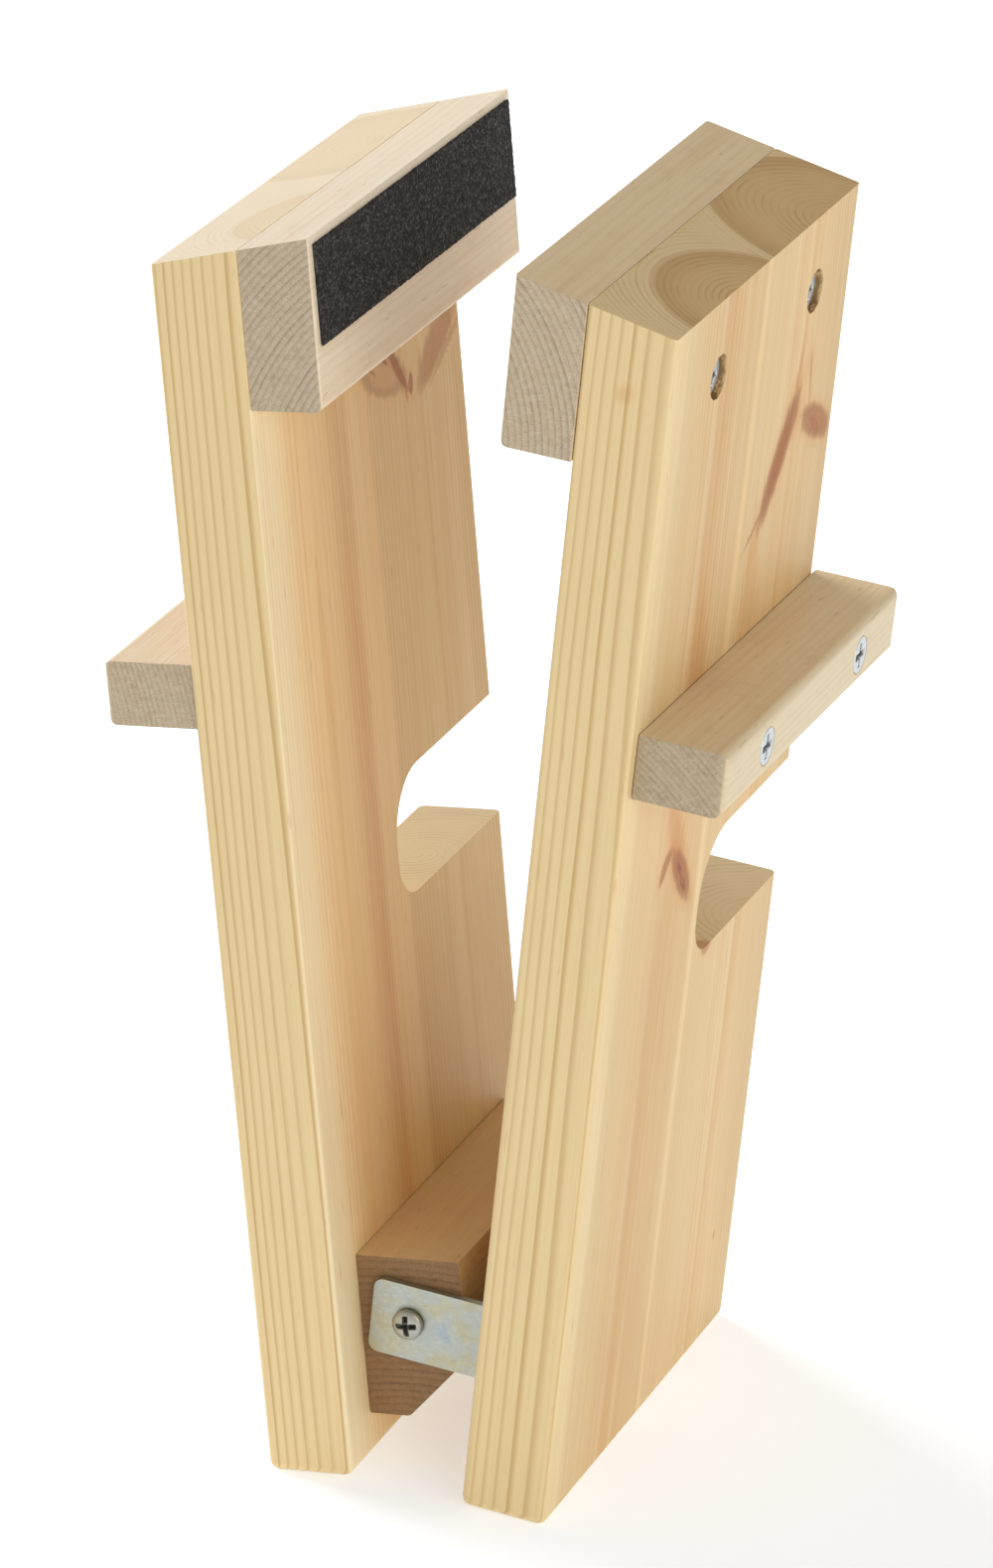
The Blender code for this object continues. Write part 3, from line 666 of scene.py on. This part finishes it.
def beech_material(node):
    """Beech with faint flecks along its faces and ringed, rayed, greyer end grain."""
    facts = BARS[node]
    material, tree, place, end_grain, upright = start_wood(f"{node} beech", facts["side"], "y")
    inputs = {
        "Position": place, "Pith": facts["pith"], "Ring Width": facts["ring"], "Waver": 0.003,
    }
    rings = place_group(tree, "Growth Rings", inputs)
    inputs = {"Position": place, "Fineness": 1100.0, "Length Share": 0.035}
    fibre = place_group(tree, "Wood Fibre", inputs)
    rays = place_group(tree, "Rays", {"Position": place, "Pith": facts["pith"]})

    face = tree.mix(tree.sum("MULTIPLY", rings["Latewood"], 0.18), BEECH_FACE, BEECH_LINE)
    streak = tree.sum("MULTIPLY", tree.rise(fibre["Streak"], 0.42, 0.72), 0.12)
    face = tree.mix(streak, face, colour(206, 170, 126), blend="MULTIPLY")
    broad = tree.sum("MULTIPLY", tree.rise(fibre["Broad"], 0.40, 0.70), 0.16)
    face = tree.mix(broad, face, colour(232, 200, 160), blend="MULTIPLY")
    face = tree.mix(tree.sum("MULTIPLY", fibre["Fleck"], 0.30), face, colour(176, 138, 100))

    lines = tree.sum("MULTIPLY", rings["Latewood"], facts["lines"])
    end = tree.mix(lines, BEECH_END, BEECH_END_LINE)
    end = tree.mix(tree.sum("MULTIPLY", rays["Ray"], 0.24), end, colour(224, 210, 188))
    mottle = tree.rise(tree.noise(place, 480.0, 3.0, 0.65), 0.35, 0.75)
    mottle = tree.sum("MULTIPLY", mottle, 0.35)
    end = tree.mix(mottle, end, colour(204, 190, 166), blend="MULTIPLY")
    pores = tree.rise(tree.noise(place, PORE_SCALE, 1.0, 0.5), 0.56, 0.66)
    end = tree.mix(tree.sum("MULTIPLY", pores, 0.35), end, colour(120, 102, 84))
    tint = tree.mix(end_grain, face, end)
    # Painted light and shade: each facing of the bar, top and bottom, ends and upright faces, is
    # tinted by how brightly it is lit.
    tone = tree.mix(end_grain, *facts["painted_light_by_facing"][:2])
    tone = tree.mix(upright, tone, facts["painted_light_by_facing"][2])
    tint = tree.mix(1.0, tint, tone, blend="MULTIPLY")
    handled = tree.rise(tree.noise(place, 120.0, 4.0, 0.6), 0.52, 0.75)
    handled = tree.sum("MULTIPLY", handled, 0.12)
    tint = tree.mix(handled, tint, colour(204, 190, 170), blend="MULTIPLY")

    roughness = tree.sum("MULTIPLY_ADD", end_grain, 0.22, 0.48)
    height = tree.sum("MULTIPLY_ADD", rays["Ray"], 0.3, rings["Latewood"])
    height = tree.sum("MULTIPLY", height, end_grain)
    height = tree.sum("MULTIPLY_ADD", fibre["Streak"], 0.4, height)
    finish_wood(material, tree, tint, roughness, height, BEECH_RELIEF)
    return material


for node, facts in BARS.items():
    upright_side = facts["side"] if "jaw" in node else None
    bar = softened_copy(node, f"{node}_bar", BAR_SOFTENING, upright_side)
    fit_piece(bar, beech_material(node), f"{facts['side']}_side", "beech", node)


# ---------------------------------------------------------------------------------------------
# Abrasive strips.  Black grit on a cloth backing, glued along each jaw's gripping face.  The
# grains stand up from the face, and a few of them glint.
# ---------------------------------------------------------------------------------------------
GRIT_STEP = 0.00055           # from grain to grain
GRIT_HEIGHT = 0.00022
GRIT_EDGE = 0.00025           # how far the cut outline wanders inwards
GRIT_SEED = 7
GRAIN_SCALE = 1500.0          # shaded grains to a metre


def surface(name, points, faces):
    """A mesh object from an array of points and an array of quads, put in as whole arrays."""
    mesh = bpy.data.meshes.new(name)
    mesh.vertices.add(len(points))
    mesh.vertices.foreach_set("co", np.ascontiguousarray(points, np.float32).ravel())
    mesh.loops.add(faces.size)
    mesh.loops.foreach_set("vertex_index", np.ascontiguousarray(faces, np.int32).ravel())
    mesh.polygons.add(len(faces))
    mesh.polygons.foreach_set("loop_start", np.arange(0, faces.size, 4, dtype=np.int32))
    mesh.update(calc_edges=True)
    mesh.validate()
    piece = bpy.data.objects.new(name, mesh)
    bpy.context.scene.collection.objects.link(piece)
    return piece


def grit_strip(name, side):
    """A closed strip whose gripping face is a grid of grains.

    Two equal grids, front and back, share their outlines through a rim of quads.  The front
    grid stands at the strip's face less a random share of the grain height, and its outline
    wanders by a random share of the edge step.
    """
    low, high = side_box(f"{side}_grip_pad", side)
    columns = int((high[1] - low[1]) / GRIT_STEP)
    rows = int((high[2] - low[2]) / GRIT_STEP)
    across, up = np.meshgrid(np.linspace(0, 1, columns), np.linspace(0, 1, rows), indexing="ij")
    draw = np.random.default_rng(SIDES.index(side) + GRIT_SEED)
    grain = draw.random(across.shape) ** 2
    border = (across == 0) | (across == 1) | (up == 0) | (up == 1)
    wander = draw.random(across.shape) * GRIT_EDGE * border
    y = low[1] + (high[1] - low[1]) * across + wander * (0.5 - across) * 2
    z = low[2] + (high[2] - low[2]) * up + wander * (0.5 - up) * 2
    gripping, backing = (high[0], low[0]) if side == "left" else (low[0], high[0])
    inward = np.sign(backing - gripping)
    front = np.stack([gripping + inward * grain * GRIT_HEIGHT, y, z], -1).reshape(-1, 3)
    back = np.stack([np.full(y.shape, backing), y, z], -1).reshape(-1, 3)
    index = np.arange(columns * rows).reshape(columns, rows)
    quads = np.stack([index[:-1, :-1], index[1:, :-1], index[1:, 1:], index[:-1, 1:]], -1)
    quads = quads.reshape(-1, 4)
    outline = np.concatenate([index[:-1, 0], index[-1, :-1], index[:0:-1, -1], index[0, :0:-1]])
    following = np.roll(outline, -1)
    count = columns * rows
    rim = np.stack([outline, outline + count, following + count, following], -1)
    faces = np.concatenate([quads, quads[:, ::-1] + count, rim])
    if side == "right":
        faces = faces[:, ::-1]
    return surface(name, to_row(np.concatenate([front, back]), side), faces)


def grit_material():
    """Black grains of uneven shade, with a scatter of paler glinting ones."""
    material = bpy.data.materials.new("black grit")
    material.use_nodes = True
    tree = Tree(material.node_tree)
    place = tree.add("ShaderNodeTexCoord", output="Object")
    grains = tree.tree.nodes.new("ShaderNodeTexVoronoi")
    tree.tree.links.new(place, grains.inputs["Vector"])
    grains.inputs["Scale"].default_value = GRAIN_SCALE
    shade = tree.tree.nodes.new("ShaderNodeSeparateColor")
    tree.tree.links.new(grains.outputs["Color"], shade.inputs[0])
    glint = tree.rise(shade.outputs[0], 0.96, 1.0)
    grey = tree.sum("POWER", shade.outputs[1], 3.0)
    tint = tree.mix(grey, colour(12, 12, 13), colour(88, 86, 82))
    tint = tree.mix(glint, tint, colour(84, 83, 82))
    shader = material.node_tree.nodes["Principled BSDF"]
    tree.tree.links.new(tint, shader.inputs["Base Color"])
    roughness = tree.sum("MULTIPLY_ADD", glint, -0.45, 0.9)
    tree.tree.links.new(roughness, shader.inputs["Roughness"])
    inputs = {"Strength": 0.7, "Distance": 0.0002, "Height": grains.outputs["Distance"]}
    relief = tree.add("ShaderNodeBump", inputs)
    tree.tree.links.new(relief, shader.inputs["Normal"])
    return material


grit = grit_material()
for side in SIDES:
    strip = grit_strip(f"{side}_abrasive_strip", side)
    fit_piece(strip, grit, f"{side}_side", "grip", f"{side}_grip_pad")


# ---------------------------------------------------------------------------------------------
# Angle brackets.  Pressed steel, zinc plated: a dull silver with a faint yellow and blue
# bloom, mottled, with short paler scratches.  One leg turns on the pivot screw, the other
# is screwed to the right board.
# ---------------------------------------------------------------------------------------------
BRACKET_SOFTENING = 0.0004


def make_plating():
    """Zinc bloom: slow patches of tint, a finer mottle and short rubbed scratches."""
    tree, given, result = new_group(
        "Zinc Bloom",
        [("Position", "Vector"), ("Mottle Scale", "Float", 500.0)],
        [("Bloom", "Float"), ("Mottle", "Float"), ("Scratch", "Float")],
    )
    bloom = tree.noise(given["Position"], 90.0, 3.0, 0.55)
    mottle = tree.noise(given["Position"], given["Mottle Scale"], 3.0, 0.6)
    tree.tree.links.new(bloom, result["Bloom"])
    tree.tree.links.new(mottle, result["Mottle"])
    drawn = tree.vector("MULTIPLY", given["Position"], (0.25, 1.0, 2.4))
    rubbed = tree.noise(drawn, 900.0, 2.0, 0.7)
    tree.tree.links.new(tree.rise(rubbed, 0.60, 0.70), result["Scratch"])


make_plating()


def zinc_material(name, mottle, base, warm, cool):
    """Zinc plating over steel: metallic, dull, mottled, with a warm and a cool bloom.

    Where a piece carries a recess value, the plating is painted darker: painted shade in a screw's
    cross recess.
    """
    material = bpy.data.materials.new(name)
    material.use_nodes = True
    tree = Tree(material.node_tree)
    place = tree.add("ShaderNodeTexCoord", output="Object")
    bloom = place_group(tree, "Zinc Bloom", {"Position": place, "Mottle Scale": mottle})
    tint = tree.mix(tree.rise(bloom["Bloom"], 0.45, 0.70), base, warm)
    tint = tree.mix(tree.rise(bloom["Bloom"], 0.48, 0.30), tint, cool)
    tint = tree.mix(tree.sum("MULTIPLY", bloom["Mottle"], 0.45), tint, colour(142, 144, 138))
    tint = tree.mix(tree.sum("MULTIPLY", bloom["Scratch"], 0.25), tint, colour(236, 238, 240))
    # Painted shade: the cross recess of a screw head is painted dark grey.
    sunk = tree.add("ShaderNodeAttribute", output="Fac", attribute_name="recess")
    tint = tree.mix(tree.sum("MULTIPLY", sunk, 0.84), tint, colour(62, 64, 62))
    shader = material.node_tree.nodes["Principled BSDF"]
    tree.tree.links.new(tint, shader.inputs["Base Color"])
    shader.inputs["Metallic"].default_value = 0.85
    roughness = tree.sum("MULTIPLY_ADD", bloom["Mottle"], 0.30, 0.26)
    roughness = tree.sum("MULTIPLY_ADD", bloom["Scratch"], -0.08, roughness)
    tree.tree.links.new(roughness, shader.inputs["Roughness"])
    inputs = {"Strength": 0.25, "Distance": 0.0001, "Height": bloom["Mottle"]}
    relief = tree.add("ShaderNodeBump", inputs)
    tree.tree.links.new(relief, shader.inputs["Normal"])
    return material


bracket_zinc = zinc_material(
    "bracket zinc", 700.0, colour(186, 189, 179), colour(192, 184, 146), colour(168, 180, 186)
)
for end in ("front", "rear"):
    bracket = softened_copy(f"{end}_bracket", f"{end}_angle_bracket", BRACKET_SOFTENING)
    fit_piece(bracket, bracket_zinc, "right_side", "zinc_bracket", f"{end}_bracket")


# ---------------------------------------------------------------------------------------------
# Wood screws.  Bright zinc with a cross recess: countersunk ones through the boards and
# cleats, pan heads for the pivots and the brackets.  Each is turned about its own axis, with
# a rolled thread on its shank and a gimlet point.
# ---------------------------------------------------------------------------------------------
SCREW_COLUMNS = 72
HEAD_ROWS = 33
RECESS_REACH = 0.60           # of the head's radius
RECESS_WIDTH = 0.165          # half width of a wing, of the head's radius
RECESS_DEPTH = 0.50           # of the head's radius
THREAD_PITCH = 0.0022
THREAD_DEPTH = 0.22           # of the shank's radius
SHARP_FROM = math.radians(32)
HEAD_RISE = 0.62              # of the head's radius
POINT_LENGTH = 0.005
SHANK_RADIUS = {"jaw": 0.0023, "cleat": 0.0023, "block": 0.0022, "pivot": 0.0024, "bracket": 0.0018}
# Each screw: its node, its side, the way its head faces and the kind of head.
SCREWS = [
    (f"{side}_{use}_screw_{end}", side, "out" if side == "right" else "in", "countersunk")
    for side in SIDES for use in ("jaw", "cleat") for end in ("front", "rear")
]
SCREWS += [(f"block_screw_{end}", "left", "in", "countersunk") for end in ("front", "rear")]
SCREWS += [(f"{end}_pivot_screw", "left", end, "pan") for end in ("front", "rear")]
SCREWS += [
    (f"{end}_bracket_screw_{number}", "right", "in", "pan")
    for end in ("front", "rear") for number in (1, 2)
]
# The way each head faces in its side's own axes: "out" is +u, "in" is -u.
FACING = {"out": (0, 1), "in": (0, -1), "front": (1, -1), "rear": (1, 1)}


def recess_depth(across, up, head):
    """Depth of the cross recess at a place on the head's top.

    Two crossed wings, each a band of the half width that slopes up to the reach, joined by
    whichever is deeper, so the floor falls towards the middle like a driver's point.
    """
    def wing(along, beside):
        wall = np.clip((RECESS_WIDTH * head - np.abs(beside)) / (0.04 * head), 0, 1)
        slope = np.clip(1.15 - np.abs(along) / (RECESS_REACH * head), 0, 1)
        return wall * slope ** 0.6

    return RECESS_DEPTH * head * np.maximum(wing(across, up), wing(up, across))


def profile_rows(radius, height, thread=0.0):
    """Rows of (radius, height, thread share) from numbers or arrays of one length."""
    return np.stack(np.broadcast_arrays(np.atleast_1d(radius), height, thread), -1)


def screw_rows(kind, head, shank, length, rise):
    """The turned outline as (radius, height, thread share), from the top's middle down.

    A countersunk head is flat, then a cone down to the shank; a pan head is a quarter of an
    ellipse over a short wall.  The shank runs at one radius and tapers evenly to its point.
    """
    thread_top = -rise if kind == "countersunk" else 0.0
    if kind == "countersunk":
        top = profile_rows(np.linspace(0, 1, HEAD_ROWS + 1)[1:] * head * 0.97, 0.0)
        cone = np.array([0.25, 0.5, 0.75, 1])
        under = [
            profile_rows(np.full(2, head), np.array([-0.0003, -0.0006])),
            profile_rows(head + (shank - head) * cone, -0.0006 + (0.0006 - rise) * cone),
        ]
    else:
        arc = np.linspace(0, math.pi / 2, HEAD_ROWS + 1)[1:]
        top = profile_rows(head * np.sin(arc), rise * (0.45 + 0.55 * np.cos(arc)))
        wall = np.array([rise * 0.2, 0.0004, 0.0004])
        under = [profile_rows(np.array([head, head * 0.98, shank]), wall)]
    turns = np.arange(thread_top - 0.002, -length + POINT_LENGTH, -THREAD_PITCH / 5)
    taper = 1 - np.array([0.25, 0.5, 0.75])
    tip = profile_rows(shank * taper, -length + POINT_LENGTH * taper, taper)
    return np.concatenate([top, *under, profile_rows(shank, turns, 1.0), tip])


def turned_screw(name, node, side, facing, kind):
    """A screw as one closed grid: columns around the axis by rows down the outline.

    Columns crowd towards the four wings, so the recess has crisp walls.  The thread is a
    ridge that climbs one pitch for each turn, cut into the shank between its crests.
    """
    axis, sign = FACING[facing]
    low, high = side_box(node, side)
    middle = (low + high) / 2
    others = [i for i in range(3) if i != axis]
    head = max(high[i] - low[i] for i in others) / 2
    reach = high[axis] - low[axis]
    shank = next(radius for word, radius in SHANK_RADIUS.items() if f"{word}_screw" in node)
    rise = head * HEAD_RISE
    above = rise if kind == "pan" else 0.0
    rows = screw_rows(kind, head, shank, reach - above, rise)
    step = np.arange(SCREW_COLUMNS) * 2 * math.pi / SCREW_COLUMNS
    turn = step - 0.2 * np.sin(4 * step)
    radius, height, share = (rows[:, k][:, None] for k in range(3))
    climb = height / THREAD_PITCH - turn[None, :] / (2 * math.pi)
    ridge = np.abs((climb % 1.0) * 2 - 1)
    groove = THREAD_DEPTH * shank * np.clip(1.25 - ridge * 1.6, 0, 1)
    groove = np.where(share > 0, groove, 0.0)
    wide = np.maximum(radius - groove, 0.0001)
    across = wide * np.cos(turn)
    up = wide * np.sin(turn)
    top_rows = (np.arange(len(rows)) < HEAD_ROWS)[:, None]
    sunk = np.where(top_rows, recess_depth(across, up, head), 0.0)
    tall = np.broadcast_to(height, across.shape) - sunk
    ring = np.stack([across, up, tall], -1).reshape(-1, 3)
    middle_top = [0.0, 0.0, above - RECESS_DEPTH * head]
    points = np.concatenate([ring, [middle_top, [0.0, 0.0, -(reach - above)]]])

    index = np.arange(len(rows) * SCREW_COLUMNS).reshape(len(rows), SCREW_COLUMNS)
    after = np.roll(index, -1, axis=1)
    walls = np.stack([index[:-1], index[1:], after[1:], after[:-1]], -1).reshape(-1, 4)
    crown = np.full(SCREW_COLUMNS, len(points) - 2)
    caps = [np.stack([crown, index[0], after[0]], -1),
            np.stack([crown + 1, after[-1], index[-1]], -1)]

    local = np.zeros((3, 3))
    local[axis, 2] = sign
    local[others[0], 0] = 1
    local[others[1], 1] = 1
    if np.linalg.det(local) < 0:
        local[others[0], 0] = -1
    seat = middle.copy()
    seat[axis] = high[axis] - above if sign > 0 else low[axis] + above
    placed = to_row(points @ local.T + seat, side)
    mesh = bpy.data.meshes.new(name)
    mesh.from_pydata(placed, [], walls.tolist() + np.concatenate(caps).tolist())
    # How deep each point sits in the cross recess, kept for the painted shade there.
    depth = RECESS_DEPTH * head
    dark = np.clip(np.append(sunk.ravel(), [depth, 0.0]) / (0.3 * depth), 0, 1)
    recess = mesh.attributes.new("recess", "FLOAT", "POINT")
    recess.data.foreach_set("value", dark.astype(np.float32))
    mesh.shade_smooth()
    mesh.set_sharp_from_angle(angle=SHARP_FROM)
    piece = bpy.data.objects.new(name, mesh)
    bpy.context.scene.collection.objects.link(piece)
    return piece


screw_zinc = zinc_material(
    "screw zinc", 1500.0, colour(222, 226, 230), colour(226, 224, 214), colour(204, 214, 224)
)
pan_zinc = zinc_material(
    "pan head zinc", 1500.0, colour(182, 184, 176), colour(190, 184, 160), colour(168, 174, 174)
)
for node, side, facing, kind in SCREWS:
    screw = turned_screw(f"{node}_turned", node, side, facing, kind)
    fit_piece(screw, pan_zinc if kind == "pan" else screw_zinc, f"{side}_side", "zinc_screw", node)


# ---------------------------------------------------------------------------------------------
# The table: a wide, plain white sheet that curves up far behind the clamp, lit by a large soft
# window from the upper left, two weaker ones from the front and the right, and a bright room.
# ---------------------------------------------------------------------------------------------
TABLE_HALF_WIDTH = 30.0
TABLE_FRONT = -30.0
TABLE_BEND_START = 28.0
TABLE_BEND_RADIUS = 2.0
TABLE_WALL = 6.0
TABLE_GLOW = 0.44             # light through the sheet from below


def swept_sheet():
    """A sheet carried across X along a profile: flat, then a quarter circle, then upright."""
    turn = np.linspace(0, math.pi / 2, 24)
    profile = np.concatenate([
        [[TABLE_FRONT, 0.0]],
        np.stack([TABLE_BEND_START + TABLE_BEND_RADIUS * np.sin(turn),
                  TABLE_BEND_RADIUS * (1 - np.cos(turn))], -1),
        [[TABLE_BEND_START + TABLE_BEND_RADIUS, TABLE_BEND_RADIUS + TABLE_WALL]],
    ])
    ends = (-TABLE_HALF_WIDTH, TABLE_HALF_WIDTH)
    points = np.concatenate([np.insert(profile, 0, x, axis=1) for x in ends])
    first = np.arange(len(profile) - 1)
    second = first + len(profile)
    quads = np.stack([first, second, second + 1, first + 1], -1)
    sheet = surface("white_table", points, quads)
    sheet.data.shade_smooth()
    paper = bpy.data.materials.new("white table")
    paper.use_nodes = True
    shader = paper.node_tree.nodes["Principled BSDF"]
    shader.inputs["Base Color"].default_value = colour(240, 246, 252)
    shader.inputs["Roughness"].default_value = 0.9
    shader.inputs["Emission Color"].default_value = (1.0, 1.0, 1.0, 1.0)
    shader.inputs["Emission Strength"].default_value = TABLE_GLOW
    sheet.data.materials.append(paper)


def soft_window(name, place, aim, size, power):
    """A large area light at a place, turned to face a point."""
    light = bpy.data.lights.new(name, "AREA")
    light.shape = "RECTANGLE"
    light.size, light.size_y = size
    light.energy = power
    lamp = bpy.data.objects.new(name, light)
    bpy.context.scene.collection.objects.link(lamp)
    lamp.location = place
    lamp.rotation_euler = (Vector(aim) - Vector(place)).to_track_quat("-Z", "Y").to_euler()


swept_sheet()
MIDDLE = (0.0, 0.0, 0.2)
WINDOW_SIZE = (1.6, 1.4)
# Each window: its name, its place and its power in watts.
WINDOWS = (
    ("left window", (-2.0, 0.8, 1.1), 57.0),
    ("right window", (2.2, -0.4, 0.4), 4.0),
    ("front window", (1.7, -1.4, 1.1), 11.5),
)
for name, place, power in WINDOWS:
    soft_window(name, place, MIDDLE, WINDOW_SIZE, power)

ROOM_WALLS = 0.69
ROOM_CEILING = 0.26
room = bpy.data.worlds.new("bright room")
room.use_nodes = True
sky = Tree(room.node_tree)
facing = sky.split(sky.add("ShaderNodeTexCoord", output="Generated"))
upwards = sky.rise(facing["Z"], 0.1, 0.9)
strength = sky.sum("MULTIPLY_ADD", upwards, ROOM_CEILING - ROOM_WALLS, ROOM_WALLS)
air = room.node_tree.nodes["Background"].inputs
air["Color"].default_value = (1.0, 1.0, 1.0, 1.0)
sky.tree.links.new(strength, air["Strength"])
bpy.context.scene.world = room
bpy.context.scene.view_settings.view_transform = "Standard"

# The camera looks down on the clamp from its front right, with a long lens.
CAMERA_AIM = Vector((-0.0023, 0.0026, 0.2052))
CAMERA_DISTANCE = 2.4246
CAMERA_AZIMUTH = math.radians(20.17)
CAMERA_HEIGHT = math.radians(22.35)
CAMERA_ROLL = math.radians(2.26)
CAMERA_LENS = 180.0

lens = bpy.data.cameras.new("camera")
lens.lens = CAMERA_LENS
lens.clip_end = 50.0
camera = bpy.data.objects.new("camera", lens)
bpy.context.scene.collection.objects.link(camera)
back = Vector((
    math.sin(CAMERA_AZIMUTH) * math.cos(CAMERA_HEIGHT),
    -math.cos(CAMERA_AZIMUTH) * math.cos(CAMERA_HEIGHT),
    math.sin(CAMERA_HEIGHT),
))
level = Vector((math.cos(CAMERA_AZIMUTH), math.sin(CAMERA_AZIMUTH), 0.0))
upward = back.cross(level)
tilted_level = level * math.cos(CAMERA_ROLL) + upward * math.sin(CAMERA_ROLL)
tilted_upward = upward * math.cos(CAMERA_ROLL) - level * math.sin(CAMERA_ROLL)
turned_axes = Matrix((tilted_level, tilted_upward, back)).transposed()
camera_place = Matrix.Translation(CAMERA_AIM + back * CAMERA_DISTANCE)
camera.matrix_world = camera_place @ turned_axes.to_4x4()
bpy.context.scene.camera = camera
